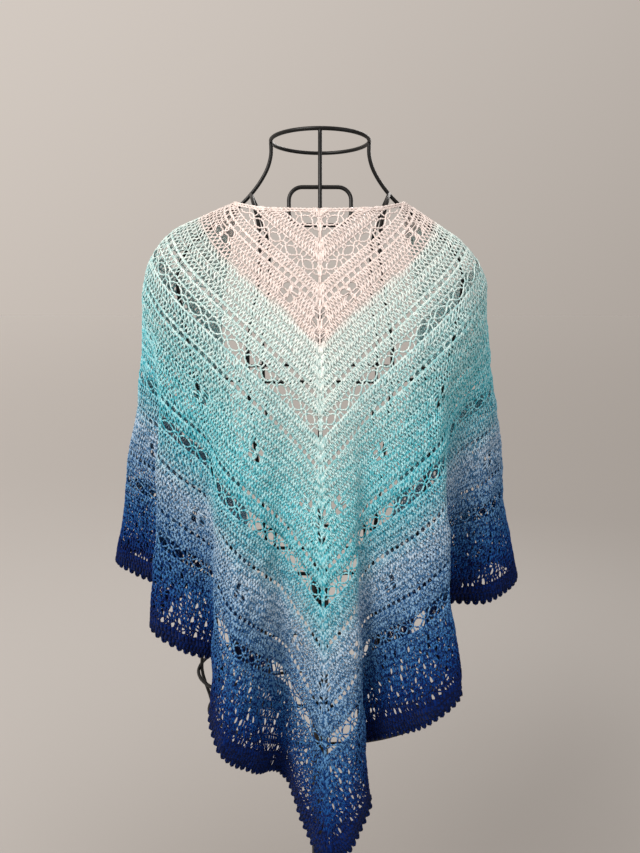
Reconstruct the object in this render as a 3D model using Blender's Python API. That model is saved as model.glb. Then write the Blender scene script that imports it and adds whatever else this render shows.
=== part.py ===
"""A crocheted triangular shawl over a black wire dress form on a floor stand.

The shawl is cut flat as a wide triangle: its long edge runs across the shoulders, its point hangs
at the -Y side, and its two wings hang at the +Y side. Every cloth solid is worked
out in that flat triangle first and then draped, so its lengths down the cloth are kept.
Units are metres, +Z is up, and the origin is on the floor under the form's axis.
"""

import math

import bmesh
import bpy
import numpy as np
from mathutils import Vector
from mathutils.geometry import delaunay_2d_cdt

# the flat shawl
CLOTH_DEPTH = 0.730  # long edge to the point
CLOTH_REACH = 0.900  # middle of the long edge to a wing tip
CLOTH_WALL = 0.0020
NECK_RUN = 0.137  # long edge beside the neck, to each side, before it crosses the shoulder
ROWS = 60  # rows of stitches from the long edge to the hem
EDGING_WIDTH = 0.010
SEAM_GAP = 0.0003
STRETCH_SPLIT = 0.300  # flat distance from the spine at which the wing stretches begin
MESH_STEP = 0.028
EYELET_ROOM = 0.011  # mesh points keep this far from an eyelet's middle
EYELET_MARGIN = 0.004  # eyelets keep this far from a seam
SHOULDER_STEP = 0.012  # finer where the cloth turns over the shoulders
SHOULDER_ZONE = (0.04, 0.33, 0.17)  # that place in the flat cloth: nearest and farthest across, depth

# the wire form and its stand
WIRE = 0.0034
WIRE_SIDES = 6
HOOP_STEPS = 24
FORM_TOP = 1.500
NECK_RADIUS = 0.0555
POLE_DIAMETER = 0.022
POLE_SIDES = 16
WAIST_HEIGHT = 1.015
BOTTOM_HEIGHT = 0.795
BASE_DIAMETER = 0.320
BASE_THICKNESS = 0.008
BASE_SIDES = 48
FLANGE_DIAMETER = 0.070
FLANGE_HEIGHT = 0.014
FIT_GAP = 0.0003

# long edge at the neck: run along the edge, then x, y, z
NECK_LINE = (
    (0.000, 0.000, -0.078, 1.414),
    (0.030, 0.030, -0.076, 1.415),
    (0.060, 0.058, -0.067, 1.417),
    (0.090, 0.083, -0.043, 1.424),
    (0.118, 0.096, -0.006, 1.431),
    (0.137, 0.095, 0.013, 1.429),
)

# how the cloth leaves the neck: heading in degrees, outward share, run where it starts to turn
# down, run where it hangs straight
SHOULDER = (
    (0.0, 0.33, 0.06, 0.26),
    (35.0, 0.52, 0.05, 0.24),
    (60.0, 0.76, 0.06, 0.19),
    (80.0, 0.88, 0.06, 0.170),
    (100.0, 0.88, 0.06, 0.170),
    (125.0, 0.77, 0.06, 0.19),
    (155.0, 0.62, 0.05, 0.24),
)
SHOULDER_REACH = {"left": 1.03, "right": 0.94}

# folds at the hem: angle from the spine in the flat cloth, then x, y of the hem there
FOLDS = {
    "right": (
        (0.0, 0.008, -0.146),
        (2.4, 0.036, -0.148),
        (4.9, 0.056, -0.126),
        (8.0, 0.043, -0.090),
        (9.6, 0.050, -0.081),
        (11.9, 0.068, -0.094),
        (17.8, 0.118, -0.132),
        (22.3, 0.155, -0.122),
        (28.8, 0.124, -0.062),
        (33.6, 0.146, -0.026),
        (40.1, 0.205, -0.042),
        (48.3, 0.250, 0.008),
        (56.0, 0.228, 0.066),
        (59.6, 0.204, 0.046),
        (62.6, 0.188, 0.058),
        (68.4, 0.192, 0.108),
        (74.8, 0.150, 0.138),
        (80.7, 0.122, 0.102),
        (86.2, 0.090, 0.140),
        (90.0, 0.060, 0.148),
    ),
    "left": (
        (0.0, 0.008, -0.146),
        (1.5, -0.008, -0.134),
        (6.0, -0.042, -0.090),
        (11.0, -0.074, -0.140),
        (14.4, -0.101, -0.158),
        (17.9, -0.121, -0.130),
        (23.5, -0.118, -0.078),
        (28.3, -0.158, -0.090),
        (32.5, -0.196, -0.080),
        (38.3, -0.168, -0.028),
        (43.3, -0.214, -0.018),
        (50.1, -0.264, 0.018),
        (57.1, -0.238, 0.070),
        (60.6, -0.212, 0.050),
        (63.6, -0.195, 0.061),
        (69.4, -0.196, 0.110),
        (76.0, -0.150, 0.140),
        (81.4, -0.126, 0.104),
        (86.6, -0.095, 0.142),
        (90.0, -0.065, 0.152),
    ),
}
FOLD_START = 0.15  # run down the cloth where folds begin
FOLD_POWER = 1.22  # how late the folds grow towards the hem
LEAST_FALL = 0.08  # smallest drop of a line for its length

# chain lattice bands: first row, height in rows, hole length along the row, hole height
LATTICES = (
    (1.0, 1.6, 0.011, 0.008),
    (5.0, 1.9, 0.013, 0.010),
    (18.0, 1.9, 0.014, 0.010),
    (33.0, 2.0, 0.014, 0.011),
    (47.0, 1.6, 0.013, 0.009),
)
LATTICE_PITCH = 0.0228

# four-petal eyelet flowers: row of the middle, distance along the row of the first, pitch
FLOWERS = (
    (10.0, 0.045, 0.090),
    (27.0, 0.030, 0.088),
    (42.0, 0.062, 0.118),
)
PETAL = 0.0066
PETAL_SPREAD = 0.0094
PETAL_EDGE_MARGIN = 0.030

# the form's outline: height, half width, depth behind (-Y), depth before (+Y)
HOOPS = {
    "hoop_bust": (1.237, 0.155, 0.110, 0.108),
    "hoop_waist": (WAIST_HEIGHT, 0.125, 0.082, 0.086),
    "hoop_hip": (0.850, 0.158, 0.084, 0.094),
    "hoop_bottom": (BOTTOM_HEIGHT, 0.146, 0.076, 0.086),
}
# wires over the shoulder: x, z from the neck ring to the bust hoop
SHOULDER_WIRE = (
    (0.0556, 1.484),
    (0.0590, 1.471),
    (0.0672, 1.456),
    (0.0790, 1.441),
    (0.0930, 1.4275),
    (0.1220, 1.4072),
    (0.1450, 1.3890),
    (0.1610, 1.3690),
    (0.1670, 1.343),
    (0.1630, 1.308),
    (0.1580, 1.272),
)
# centre wires: y, z from the neck ring to the bust hoop
BACK_WIRE = (
    (0.0550, 1.470),
    (0.0590, 1.440),
    (0.0660, 1.405),
    (0.0790, 1.360),
    (0.0940, 1.310),
    (0.1040, 1.270),
)
FRONT_WIRE = (
    (0.0550, 1.470),
    (0.0580, 1.440),
    (0.0640, 1.405),
    (0.0760, 1.360),
    (0.0900, 1.310),
    (0.1000, 1.270),
)
# slant wires: x, y, z from the shoulder wire to the bust hoop
SLANT_WIRE = (
    (0.0740, 0.030, 1.428),
    (0.0660, 0.052, 1.400),
    (0.0640, 0.068, 1.360),
    (0.0700, 0.084, 1.310),
    (0.0760, 0.092, 1.270),
)
SLANT_STEP = 2  # hoop corners between a centre wire and the slant wire beside it
NECK_LOOP = {
    "y": -0.0596,
    "z": 1.419,
    "half_width": 0.033,
    "half_height": 0.020,
    "corner": 0.014,
    "lean": 0.2125,
}

COLOURS = {
    "cloth_white": (0.86, 0.83, 0.80),
    "cloth_aqua": (0.36, 0.72, 0.74),
    "cloth_navy": (0.02, 0.05, 0.22),
    "black_wire": (0.012, 0.012, 0.013),
}


def make_material(name, roughness, metallic):
    material = bpy.data.materials.new(name)
    material.use_nodes = True
    shader = material.node_tree.nodes["Principled BSDF"]
    shader.inputs["Base Color"].default_value = (*COLOURS[name], 1.0)
    shader.inputs["Roughness"].default_value = roughness
    shader.inputs["Metallic"].default_value = metallic
    return material


def add_object(name, points, faces, material, smooth=True):
    mesh = bpy.data.meshes.new(name)
    mesh.from_pydata([tuple(p) for p in points], [], [tuple(int(i) for i in f) for f in faces])
    mesh.materials.append(material)
    shape = bmesh.new()
    shape.from_mesh(mesh)
    bmesh.ops.recalc_face_normals(shape, faces=shape.faces)
    shape.to_mesh(mesh)
    shape.free()
    if smooth:
        mesh.shade_smooth()
        mesh.set_sharp_from_angle(angle=math.radians(50))
    made = bpy.data.objects.new(name, mesh)
    bpy.context.scene.collection.objects.link(made)
    return made


# Draping: the flat triangle becomes the worn shawl.


def through(table, at):
    """A smooth curve through a table's rows, whose first column is the position."""
    table = np.asarray(table, float)
    place, value = table[:, 0], table[:, 1:]
    at = np.clip(at, place[0], place[-1])
    step = np.diff(place)
    chord = np.diff(value, axis=0) / step[:, None]
    slope = np.empty_like(value)
    slope[0], slope[-1] = chord[0], chord[-1]
    before, after = step[:-1, None], step[1:, None]
    slope[1:-1] = (chord[:-1] * after + chord[1:] * before) / (before + after)
    i = np.clip(np.searchsorted(place, at, side="right") - 1, 0, len(place) - 2)
    width = step[i][:, None]
    t = (at - place[i])[:, None] / width
    return (
        value[i] * (1 + 2 * t) * (1 - t) ** 2
        + value[i + 1] * t * t * (3 - 2 * t)
        + width * t * (1 - t) * (slope[i] * (1 - t) - slope[i + 1] * t)
    )


def ease(t):
    t = np.clip(t, 0, 1)
    return t * t * (3 - 2 * t)


def neck_run(angle):
    """How far along the long edge the line at this angle (degrees from the spine) starts."""
    return NECK_RUN * (1 - (1 - np.abs(angle) / 90) ** 2.5)


class Drape:
    """Where each point of the flat triangle lies on the form.

    The cloth is a fan of lines from the neck to the hem. Each line goes out over the shoulder,
    turns down, and drifts towards its place in the folds at the hem, and its height follows
    from its length.
    """

    def __init__(self, lines=361, stations=161):
        self.angles = np.linspace(-90, 90, lines)
        size = np.abs(self.angles)
        left = self.angles < 0
        side = np.where(left, -1.0, 1.0)
        radians = np.radians(size)
        start = through(NECK_LINE, neck_run(size))
        start[:, 0] *= side
        self.length = (1 - neck_run(size) / CLOTH_REACH) / (
            np.sin(radians) / CLOTH_REACH + np.cos(radians) / CLOTH_DEPTH
        )
        run = np.linspace(0, 1, stations) * self.length[:, None]
        heading = size / 90 * SHOULDER[-1][0]
        out, turn, hang = through(SHOULDER, heading).T[:, :, None]
        heading = np.radians(heading)
        uneven = np.where(left, SHOULDER_REACH["left"], SHOULDER_REACH["right"]) - 1
        rate = out * (1 + uneven * np.sin(heading))[:, None] * (1 - ease((run - turn) / (hang - turn)))
        step = np.diff(run, axis=1)
        outward = np.cumsum((rate[:, 1:] + rate[:, :-1]) / 2 * step, axis=1)
        outward = np.hstack([np.zeros((lines, 1)), outward])
        away = np.stack([side * np.sin(heading), -np.cos(heading)], axis=-1)
        smooth = start[:, None, :2] + outward[..., None] * away[:, None, :]
        folded = np.where(left[:, None], through(FOLDS["left"], size), through(FOLDS["right"], size))
        free = np.clip((run - FOLD_START) / (self.length[:, None] - FOLD_START), 0, 1)
        grown = (free**FOLD_POWER)[..., None]
        across = smooth * (1 - grown) + folded[:, None, :] * grown
        moved = np.diff(across, axis=1)
        least = (LEAST_FALL * step) ** 2
        fall = np.sqrt(np.maximum(step**2 - (moved**2).sum(-1), least))
        height = start[:, 2:] - np.hstack([np.zeros((lines, 1)), np.cumsum(fall, axis=1)])
        self.grid = np.concatenate([across, height[..., None]], axis=-1)

    def fan(self, flat):
        """Angle and share of its line's length for flat points (across, down)."""
        across, down = np.abs(flat[:, 0]), np.maximum(flat[:, 1], 0)
        low, high = np.zeros(len(flat)), np.full(len(flat), 90.0)
        for _ in range(40):
            middle = (low + high) / 2
            short = neck_run(middle) + down * np.tan(np.radians(middle)) < across
            low, high = np.where(short, middle, low), np.where(short, high, middle)
        angle = low
        run = np.hypot(across - neck_run(angle), down)
        signed = np.where(flat[:, 0] < 0, -angle, angle)
        return signed, run / np.interp(signed, self.angles, self.length)

    def place(self, flat):
        signed, share = self.fan(np.asarray(flat, float))
        lines, stations = self.grid.shape[:2]
        i = np.clip((signed + 90) / 180 * (lines - 1), 0, lines - 1.000001)
        j = np.clip(share * (stations - 1), 0, stations - 1.000001)
        a, b = i.astype(int), j.astype(int)
        s, t = (i - a)[:, None], (j - b)[:, None]
        near = self.grid[a, b] * (1 - s) + self.grid[a + 1, b] * s
        far = self.grid[a, b + 1] * (1 - s) + self.grid[a + 1, b + 1] * s
        return near * (1 - t) + far * t

    def sides(self, flat, wall):
        """Outer and inner points of a wall about the cloth's middle surface."""
        flat = np.asarray(flat, float)
        inwards = 0.006  # share of the way towards the middle of the triangle
        inside = flat * (1 - inwards) + np.array([0.0, CLOTH_DEPTH * 0.4]) * inwards
        small = 0.0015
        along = self.place(inside + [small, 0]) - self.place(inside - [small, 0])
        down = self.place(inside + [0, small]) - self.place(inside - [0, small])
        normal = np.cross(down, along)
        normal /= np.linalg.norm(normal, axis=1)[:, None]
        middle = self.place(flat)
        return middle + normal * wall / 2, middle - normal * wall / 2


ARM_LENGTH = math.hypot(CLOTH_DEPTH, CLOTH_REACH)
FALL_LENGTH = CLOTH_DEPTH * CLOTH_REACH / ARM_LENGTH  # long edge's middle to the hem, square to it
ROW_HEIGHT = FALL_LENGTH / ROWS


def on_row(side, row, along):
    """Flat point on an arm's row: side is -1 or 1, along is the distance from the spine."""
    share = row / ROWS
    return (
        side * along * CLOTH_REACH / ARM_LENGTH,
        share * CLOTH_DEPTH - along * CLOTH_DEPTH / ARM_LENGTH,
    )


def lens(side, row, along, length, height):
    """Four corners of an eyelet, longest along its row."""
    tall = height / ROW_HEIGHT / 2
    return [
        on_row(side, row, along - length / 2),
        on_row(side, row - tall, along),
        on_row(side, row, along + length / 2),
        on_row(side, row + tall, along),
    ]


def eyelets():
    """Every hole that is cut through the cloth, as four flat corners each."""
    holes = []
    for first, tall, length, height in LATTICES:
        row = first + tall / 2
        room = row / ROWS * ARM_LENGTH - LATTICE_PITCH * 0.7
        for side in (-1, 1):
            for k in range(int(room / LATTICE_PITCH)):
                holes.append(lens(side, row, (k + 0.75) * LATTICE_PITCH, length, height))
    for row, first, pitch in FLOWERS:
        room = row / ROWS * ARM_LENGTH - first - PETAL_EDGE_MARGIN
        for side in (-1, 1):
            for k in range(int(room / pitch) + 1):
                for turn in range(4):
                    shift = PETAL_SPREAD / 2 * (1 if turn in (0, 1) else -1)
                    lift = PETAL_SPREAD / 2 * (1 if turn in (0, 2) else -1) / ROW_HEIGHT
                    holes.append(lens(side, row + lift, first + k * pitch + shift, PETAL, PETAL))
    return holes


def signed_areas(corners, points):
    """For every convex loop and point: twice the area of each side's triangle with the point."""
    a = corners[None, :, :, :]
    b = np.roll(corners, -1, axis=1)[None, :, :, :]
    p = points[:, None, None, :]
    side, offset = b - a, p - a
    return side[..., 0] * offset[..., 1] - side[..., 1] * offset[..., 0]


def inside_any(corners, points):
    if not len(corners):
        return np.zeros(len(points), bool)
    turns = signed_areas(corners, points)
    return ((turns > 0).all(-1) | (turns < 0).all(-1)).any(-1)


def evenly(start, end, step):
    count = max(1, round(math.dist(start, end) / step))
    return [tuple(np.add(start, np.subtract(end, start) * k / count)) for k in range(count)]


def row_grid(step):
    """Flat points on the rows of both arms, a step apart."""
    grid = []
    for side in (-1, 1):
        for j in range(1, round(FALL_LENGTH / step)):
            row = j * step / ROW_HEIGHT
            for k in range(int(row / ROWS * ARM_LENGTH / step) + 1):
                if side > 0 or k:
                    grid.append(on_row(side, row, k * step))
    return np.array(grid)


def at_shoulder(flat):
    near, far, deep = SHOULDER_ZONE
    return (np.abs(flat[:, 0]) > near) & (np.abs(flat[:, 0]) < far) & (flat[:, 1] < deep)


def stretch_mesh(outline, holes):
    """Flat triangulation of one convex stretch of the cloth, with its eyelets left open."""
    border = []
    for k, corner in enumerate(outline):
        after = outline[(k + 1) % len(outline)]
        at_neck = corner[1] == after[1] == 0 and abs(corner[0]) < SHOULDER_ZONE[1]
        border += evenly(corner, after, SHOULDER_STEP if at_neck else MESH_STEP)
    frame = np.array(border)
    loops = np.array([h for h in holes if is_well_inside(outline, h)])
    centres = loops.mean(axis=1) if len(loops) else np.zeros((0, 2))
    grid, fine = row_grid(MESH_STEP), row_grid(SHOULDER_STEP)
    grid = grid[(distance_inside(outline, grid) > 0.45 * MESH_STEP) & ~at_shoulder(grid)]
    fine = fine[(distance_inside(outline, fine) > 0.6 * SHOULDER_STEP) & at_shoulder(fine)]
    grid = np.vstack([grid, fine])
    if len(centres):
        nearest = np.linalg.norm(grid[:, None] - centres[None], axis=-1).min(axis=1)
        grid = grid[nearest > EYELET_ROOM]
    flat = np.vstack([frame, grid, loops.reshape(-1, 2)])
    edges = [(k, (k + 1) % len(frame)) for k in range(len(frame))]
    first = len(frame) + len(grid)
    for h in range(len(loops)):
        edges += [(first + 4 * h + k, first + 4 * h + (k + 1) % 4) for k in range(4)]
    made = delaunay_2d_cdt([Vector(p) for p in flat], edges, [], 0, 1e-7)
    points = np.array([tuple(p) for p in made[0]])
    triangles = np.array([f for f in made[2] if len(f) == 3])
    middle = points[triangles].mean(axis=1)
    keep = ~inside_any(loops, middle) & (distance_inside(outline, middle) > 0)
    keep &= np.abs(triangle_areas(points[triangles])) > 1e-9
    return points, triangles[keep]


def triangle_areas(corner):
    first, second = corner[:, 1] - corner[:, 0], corner[:, 2] - corner[:, 0]
    return (first[:, 0] * second[:, 1] - first[:, 1] * second[:, 0]) / 2


def distance_inside(outline, points):
    """How far inside a convex outline each point is, negative outside."""
    corners = np.array(outline)
    turn = np.sign(triangle_areas(corners[None, :3])[0])
    side = np.roll(corners, -1, axis=0) - corners
    side /= np.linalg.norm(side, axis=1)[:, None]
    offset = points[:, None, :] - corners[None]
    return (turn * (side[None, :, 0] * offset[..., 1] - side[None, :, 1] * offset[..., 0])).min(axis=1)


def is_well_inside(outline, hole):
    return distance_inside(outline, np.array(hole)).min() > EYELET_MARGIN


def cloth_wall(name, drape, flat, triangles, material):
    """One closed wall from a flat triangulation: both faces, and a rim along every open edge."""
    flat = np.asarray(flat, float)
    used, index = np.unique(triangles, return_inverse=True)
    triangles = index.reshape(-1, 3)
    flat = flat[used]
    turned = triangle_areas(flat[triangles]) < 0
    triangles[turned] = triangles[turned][:, ::-1]
    outer, inner = drape.sides(flat, CLOTH_WALL)
    count = len(flat)
    ends = np.concatenate([triangles[:, [0, 1]], triangles[:, [1, 2]], triangles[:, [2, 0]]])
    known = {(int(a), int(b)) for a, b in ends}
    rank = flat[:, 0] + flat[:, 1] * 1e-3
    faces = [tuple(t) for t in triangles]
    faces += [tuple(count + t[::-1]) for t in triangles]
    for a, b in sorted(known):
        if (b, a) in known:
            continue
        # both sides of a seam are split along the same diagonal, so that they stay apart
        if rank[a] < rank[b]:
            faces += [(b, a, b + count), (a, a + count, b + count)]
        else:
            faces += [(b, a, a + count), (b, a + count, b + count)]
    return add_object(name, np.vstack([outer, inner]), faces, material)


def hem_stations(start, end):
    """Distances along the hem, from the spine, that cloth and edging share."""
    count = max(1, round((end - start) / MESH_STEP))
    return [start + (end - start) * k / count for k in range(count + 1)]


def build_shawl():
    drape = Drape()
    white = make_material("cloth_white", 0.85, 0.0)
    aqua = make_material("cloth_aqua", 0.85, 0.0)
    navy = make_material("cloth_navy", 0.85, 0.0)
    holes = eyelets()
    inner = 1 - EDGING_WIDTH / FALL_LENGTH
    cut = STRETCH_SPLIT
    hem_at_cut = CLOTH_DEPTH * (inner - cut / CLOTH_REACH)
    gap = SEAM_GAP / 2
    centre = [
        (-cut + gap, 0.0),
        (cut - gap, 0.0),
        (cut - gap, hem_at_cut),
        (0.0, CLOTH_DEPTH * inner),
        (-cut + gap, hem_at_cut),
    ]
    cloth_wall("shawl_centre", drape, *stretch_mesh(centre, holes), white)
    for side, name in ((-1, "left"), (1, "right")):
        wing = [
            (side * (cut + gap), 0.0),
            (side * (CLOTH_REACH * inner), 0.0),
            (side * (cut + gap), hem_at_cut),
        ]
        cloth_wall(f"shawl_{name}", drape, *stretch_mesh(wing, holes), aqua)
    build_edging(drape, inner, navy)


def build_edging(drape, inner, material):
    """The hem's edging: a narrow strip outside the last row, in three stretches."""
    near = ROWS * (inner + SEAM_GAP / FALL_LENGTH)
    split = STRETCH_SPLIT * ARM_LENGTH / CLOTH_REACH
    full = ARM_LENGTH * (inner + SEAM_GAP / FALL_LENGTH)
    arms = {
        "edging_centre": [(-1, u) for u in hem_stations(0, split)[:0:-1]]
        + [(1, u) for u in hem_stations(0, split)],
        "edging_left": [(-1, u) for u in hem_stations(split + SEAM_GAP, full)],
        "edging_right": [(1, u) for u in hem_stations(split + SEAM_GAP, full)],
    }
    for name, stations in arms.items():
        reach = 1.0 if name == "edging_centre" else ARM_LENGTH / full
        flat = [on_row(side, near, u) for side, u in stations]
        flat += [on_row(side, ROWS, u * reach) for side, u in stations]
        count = len(stations)
        triangles = []
        for k in range(count - 1):
            triangles += [(k, k + 1, count + k), (k + 1, count + k + 1, count + k)]
        cloth_wall(name, drape, flat, np.array(triangles), material)


# The wire form.


def tube(name, path, radius, material, closed=False, sides=WIRE_SIDES):
    """A wire along a path: a ring of corners at each point, joined to the next."""
    path = [Vector(p) for p in path]
    count = len(path)
    points, faces = [], []
    across = None
    for k, place in enumerate(path):
        before = path[k - 1] if closed or k else path[0]
        after = path[(k + 1) % count] if closed or k < count - 1 else path[-1]
        ahead = (after - before).normalized()
        if across is None:
            across = ahead.cross(Vector((0, 0, 1)))
            if across.length < 0.1:
                across = ahead.cross(Vector((0, 1, 0)))
        across = (across - ahead * across.dot(ahead)).normalized()
        up = ahead.cross(across)
        for c in range(sides):
            turn = 2 * math.pi * c / sides
            points.append(place + radius * (across * math.cos(turn) + up * math.sin(turn)))
    for k in range(count if closed else count - 1):
        for c in range(sides):
            a, b = k * sides + c, k * sides + (c + 1) % sides
            e = (k + 1) % count * sides
            faces.append((a, b, e + (c + 1) % sides, e + c))
    if not closed:
        faces.append(tuple(range(sides))[::-1])
        faces.append(tuple((count - 1) * sides + c for c in range(sides)))
    return add_object(name, points, faces, material)


def turned(name, profile, sides, material):
    """A turned piece: a closed profile of (radius, height) about the form's axis."""
    points, faces = [], []
    for k in range(sides):
        turn = 2 * math.pi * k / sides
        points += [(r * math.cos(turn), r * math.sin(turn), z) for r, z in profile]
    size = len(profile)
    for k in range(sides):
        here, there = k * size, (k + 1) % sides * size
        for c in range(size):
            d = (c + 1) % size
            faces.append((here + c, here + d, there + d, there + c))
    return add_object(name, points, faces, material)


def disc(name, radius, low, high, sides, material, bevel=0.0):
    """A solid round piece with flat ends and a small bevel at its top."""
    rings = [(radius, low), (radius, high - bevel)]
    if bevel:
        rings.append((radius - bevel, high))
    turns = [2 * math.pi * k / sides for k in range(sides)]
    points, faces = [], []
    for r, z in rings:
        points += [(r * math.cos(turn), r * math.sin(turn), z) for turn in turns]
    for ring in range(len(rings) - 1):
        for k in range(sides):
            a, b = ring * sides + k, ring * sides + (k + 1) % sides
            faces.append((a, b, b + sides, a + sides))
    faces.append(tuple(range(sides))[::-1])
    faces.append(tuple((len(rings) - 1) * sides + k for k in range(sides)))
    return add_object(name, points, faces, material)


def hoop_point(hoop, corner, inset=0.0):
    """A corner of a hoop, counted from the middle of the back (-Y) towards +X."""
    height, half_width, behind, before = HOOPS[hoop]
    turn = 2 * math.pi * corner / HOOP_STEPS
    depth = behind if math.cos(turn) > 0 else before
    x, y = half_width * math.sin(turn), -depth * math.cos(turn)
    normal = Vector((x / half_width**2, y / depth**2)).normalized()
    return Vector((x - normal.x * inset, y - normal.y * inset, height))


def lower_wire(corner):
    """A wire's points inside the hoops, from the bust down to the bottom hoop."""
    inset = WIRE + FIT_GAP
    bust, waist, hip, bottom = (hoop_point(h, corner, inset) for h in HOOPS)
    upper = bust.lerp(waist, 0.5)
    upper.xy *= 0.985
    lower = waist.lerp(hip, 0.5)
    lower.xy *= 0.985
    foot = bottom - Vector((0, 0, WIRE))
    return [bust, upper, waist, lower, hip, bottom, foot]


def build_form():
    black = make_material("black_wire", 0.35, 0.6)
    radius = WIRE / 2
    turns = [2 * math.pi * k / HOOP_STEPS for k in range(HOOP_STEPS)]
    ring = [
        (NECK_RADIUS * math.sin(turn), -NECK_RADIUS * math.cos(turn), FORM_TOP - radius)
        for turn in turns
    ]
    tube("neck_ring", ring, radius, black, closed=True)
    for hoop in HOOPS:
        tube(hoop, [hoop_point(hoop, k) for k in range(HOOP_STEPS)], radius, black, closed=True)
    top = FORM_TOP - WIRE - FIT_GAP
    quarter = HOOP_STEPS // 4
    for side, name in ((-1, "left"), (1, "right")):
        path = [(side * NECK_RADIUS, 0, top)] + [(side * x, 0, z) for x, z in SHOULDER_WIRE]
        tube(f"wire_{name}", path + lower_wire(side * quarter), radius, black)
        for face, where in ((-1, "back"), (1, "front")):
            corner = SLANT_STEP if face < 0 else 2 * quarter - SLANT_STEP
            start = (side * SHOULDER_WIRE[3][0], face * (WIRE + FIT_GAP), SHOULDER_WIRE[3][1])
            path = [start] + [(side * x, face * y, z) for x, y, z in SLANT_WIRE]
            tube(f"wire_{where}_{name}", path + lower_wire(side * corner), radius, black)
    back = [(0, -NECK_RADIUS, top)] + [(0, -y, z) for y, z in BACK_WIRE]
    tube("wire_back", back + lower_wire(0), radius, black)
    front = [(0, NECK_RADIUS, top)] + [(0, y, z) for y, z in FRONT_WIRE]
    tube("wire_front", front + lower_wire(2 * quarter), radius, black)
    build_neck_loop(black, radius)
    return black


def build_neck_loop(material, radius):
    """A rounded oblong of wire against the inside of the back wire."""
    n = NECK_LOOP
    path = []
    for x_side, z_side, first in ((1, 1, 0), (-1, 1, 90), (-1, -1, 180), (1, -1, 270)):
        for k in range(4):
            turn = math.radians(first + 30 * k)
            x = x_side * (n["half_width"] - n["corner"]) + n["corner"] * math.cos(turn)
            z = z_side * (n["half_height"] - n["corner"]) + n["corner"] * math.sin(turn)
            path.append((x, n["y"] + n["lean"] * z, n["z"] + z))
    tube("neck_loop", path, radius, material, closed=True)


def build_stand(black):
    pole = POLE_DIAMETER / 2
    collar = pole + 0.004
    disc("base_plate", BASE_DIAMETER / 2, 0.0, BASE_THICKNESS, BASE_SIDES, black, bevel=0.002)
    foot = BASE_THICKNESS + FIT_GAP
    disc("pole", pole, foot, WAIST_HEIGHT + 0.016, POLE_SIDES, black, bevel=0.002)
    flange = FLANGE_DIAMETER / 2
    profile = [
        (pole + FIT_GAP, foot),
        (flange, foot),
        (flange, foot + 0.004),
        (collar, foot + FLANGE_HEIGHT),
        (pole + FIT_GAP, foot + FLANGE_HEIGHT),
    ]
    turned("pole_flange", profile, POLE_SIDES, black)
    for name, height in (("waist", WAIST_HEIGHT), ("bottom", BOTTOM_HEIGHT)):
        profile = [
            (pole + FIT_GAP, height - 0.010),
            (collar, height - 0.010),
            (collar, height + 0.010),
            (pole + FIT_GAP, height + 0.010),
        ]
        turned(f"collar_{name}", profile, POLE_SIDES, black)
        build_spokes(name, height, collar, black)


def build_spokes(name, height, collar, material):
    """Four wires from a collar to the upright wires at the middles of back, front and sides."""
    radius = WIRE / 2
    quarter = HOOP_STEPS // 4
    for turn, where in enumerate(("back", "right", "front", "left")):
        end = hoop_point(f"hoop_{name}", turn * quarter, 1.5 * WIRE + 2 * FIT_GAP)
        flat = Vector((end.x, end.y, 0)).normalized()
        start = flat * (collar + FIT_GAP) + Vector((0, 0, height))
        tube(f"spoke_{name}_{where}", [start, end], radius, material)


def clear_scene():
    for thing in list(bpy.data.objects):
        bpy.data.objects.remove(thing, do_unlink=True)


clear_scene()
build_shawl()
build_stand(build_form())
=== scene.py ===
import math

import bpy
import numpy as np
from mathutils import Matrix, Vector


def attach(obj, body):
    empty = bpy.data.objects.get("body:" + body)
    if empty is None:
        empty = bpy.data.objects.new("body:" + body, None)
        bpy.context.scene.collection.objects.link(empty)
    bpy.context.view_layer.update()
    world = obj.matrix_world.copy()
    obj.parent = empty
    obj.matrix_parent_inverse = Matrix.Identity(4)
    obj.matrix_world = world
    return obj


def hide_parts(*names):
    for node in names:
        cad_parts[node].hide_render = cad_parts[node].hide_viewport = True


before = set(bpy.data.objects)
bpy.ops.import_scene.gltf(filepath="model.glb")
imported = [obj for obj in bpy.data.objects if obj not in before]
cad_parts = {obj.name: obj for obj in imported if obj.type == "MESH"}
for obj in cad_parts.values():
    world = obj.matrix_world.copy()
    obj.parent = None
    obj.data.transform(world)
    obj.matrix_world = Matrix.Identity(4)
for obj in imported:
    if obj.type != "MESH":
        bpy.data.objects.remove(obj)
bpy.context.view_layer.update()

scene = bpy.context.scene
print("frame loaded:", len(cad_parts), "nodes")

# the flat shawl and how it hangs, in metres
shawl = {
    "depth": 0.730,
    "reach": 0.900,
    "rows": 60,
    "neckRun": 0.137,
    "foldStart": 0.15,
    "foldPower": 1.22,
    "leastFall": 0.08,
    "rippleHeight": 0.0016,
    "rippleFrom": 0.16,  # share of the way down where ripples begin
    "rippleGrow": 0.25,
    "seed": 7,
}
shawl["arm"] = math.hypot(shawl["depth"], shawl["reach"])
shawl["fall"] = shawl["depth"] * shawl["reach"] / shawl["arm"]
rowHeight = shawl["fall"] / shawl["rows"]

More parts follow.
